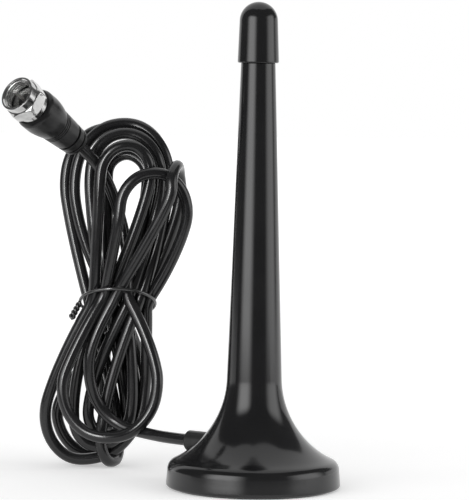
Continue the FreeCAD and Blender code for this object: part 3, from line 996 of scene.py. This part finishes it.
def addFloor(studio):
    mesh = rectangleMesh("studioFloor", 2 * studio["floorHalf"], 2 * studio["floorHalf"])
    floor = addPiece("studioFloor", mesh)
    material, tree, shader = makeGlowing("paleFloor", studio["floorTone"])
    shader.inputs["Roughness"].default_value = 1.0
    # the glow grows towards the back, so the far floor is as white as the backdrop
    where = tree.nodes.new("ShaderNodeTexCoord")
    split = tree.nodes.new("ShaderNodeSeparateXYZ")
    glow = addMapRange(tree, studio["glowReach"], studio["floorGlow"])
    seen = addMath(tree, "MULTIPLY", glow.outputs["Result"], addRaySwitch(tree))
    link = tree.links.new
    link(where.outputs["Object"], split.inputs["Vector"])
    link(split.outputs["Y"], glow.inputs["Value"])
    link(seen.outputs["Value"], shader.inputs["Emission Strength"])
    mesh.materials.append(material)


def onlyReflected(piece):
    piece.visible_camera = False
    piece.visible_diffuse = False
    piece.visible_shadow = False
    piece.visible_transmission = False


def addLamp(name, box):
    # an upright rectangle that faces the antenna
    toBox = placeAround(box["azimuth"], 1, 0)
    height = box["top"] - box["bottom"]
    light = bpy.data.lights.new(name, "AREA")
    light.shape = "RECTANGLE"
    light.size = box["width"]
    light.size_y = height
    light.energy = box["glow"] * math.pi * box["width"] * height
    lamp = bpy.data.objects.new(name, light)
    scene.collection.objects.link(lamp)
    middle = toBox * box["distance"] + Vector((0, 0, box["bottom"] + height / 2))
    aim = (-toBox).to_track_quat("-Z", "Y").to_matrix().to_4x4()
    lamp.matrix_world = Matrix.Translation(middle) @ aim
    lamp.visible_camera = False
    return lamp


def addCableStrip(strip, pieces):
    lit = bpy.data.collections.new("stripLights")
    for piece in pieces:
        lit.objects.link(piece)
    addLamp("cableStrip", strip).light_linking.receiver_collection = lit


def addSoftbox(box, fade):
    lamp = addLamp(box["name"], box)
    lamp.visible_glossy = False
    # the panel that reflections see fades to both sides and upwards
    mesh = rectangleMesh(box["name"] + "Panel", box["width"], box["top"] - box["bottom"])
    across = mesh.uv_layers.new(name="panel")
    for loop, spot in zip(across.data, ((0, 0), (1, 0), (1, 1), (0, 1))):
        loop.uv = spot
    mesh.transform(lamp.matrix_world)
    material, tree, shader = makeGlowing(box["name"] + "Cloth", 0.0)
    where = tree.nodes.new("ShaderNodeTexCoord")
    split = tree.nodes.new("ShaderNodeSeparateXYZ")
    inwards = addMath(tree, "PINGPONG", split.outputs["X"], 0.5)  # from either side to the middle
    sideways = addMapRange(tree, (0.0, fade["edge"]), (fade["rim"], box["sheen"]), "SMOOTHSTEP")
    upwards = addMapRange(tree, (fade["topFrom"], 1.0), (1.0, 0.0), "SMOOTHSTEP")
    both = addMath(tree, "MULTIPLY", sideways.outputs["Result"], upwards.outputs["Result"])
    link = tree.links.new
    link(where.outputs["UV"], split.inputs["Vector"])
    link(inwards.outputs["Value"], sideways.inputs["Value"])
    link(split.outputs["Y"], upwards.inputs["Value"])
    link(both.outputs["Value"], shader.inputs["Emission Strength"])
    mesh.materials.append(material)
    onlyReflected(addPiece(box["name"] + "Panel", mesh))


def addHood(hood):
    # part of a sphere round the front, between the outline's lowest and highest elevations
    azimuths, lows, highs = zip(*hood["outline"])
    spots = []
    for column in range(hood["columns"] + 1):
        azimuth = azimuths[0] + (azimuths[-1] - azimuths[0]) * column / hood["columns"]
        low, high = np.interp(azimuth, azimuths, lows), np.interp(azimuth, azimuths, highs)
        for row in range(hood["rows"] + 1):
            lift = math.radians(low + (high - low) * row / hood["rows"])
            reach, height = hood["distance"] * math.cos(lift), hood["distance"] * math.sin(lift)
            spots.append(placeAround(azimuth, reach, height))
    faces = gridFaces(hood["columns"], hood["rows"], 0)
    lip = hood["lip"]
    faces += gridFaces(lip["columns"], 1, len(spots))
    first, last = lip["azimuths"]
    for column in range(lip["columns"] + 1):
        azimuth = first + (last - first) * column / lip["columns"]
        for reach in (lip["from"], hood["distance"]):
            spots.append(placeAround(azimuth, reach, lip["height"]))
    mesh = bpy.data.meshes.new("darkHood")
    mesh.from_pydata(spots, [], faces)
    material, _, shader = makeGlowing("hoodBlack", 0.0)
    shader.inputs["Emission Strength"].default_value = hood["glow"]
    mesh.materials.append(material)
    onlyReflected(addPiece("darkHood", mesh))


addWorld(studio)
addFloor(studio)
for box in studio["boxes"]:
    addSoftbox(box, studio["boxFade"])
addCableStrip(studio["cableStrip"], [cord, tiePiece])
addHood(studio["hood"])
print("studio set")
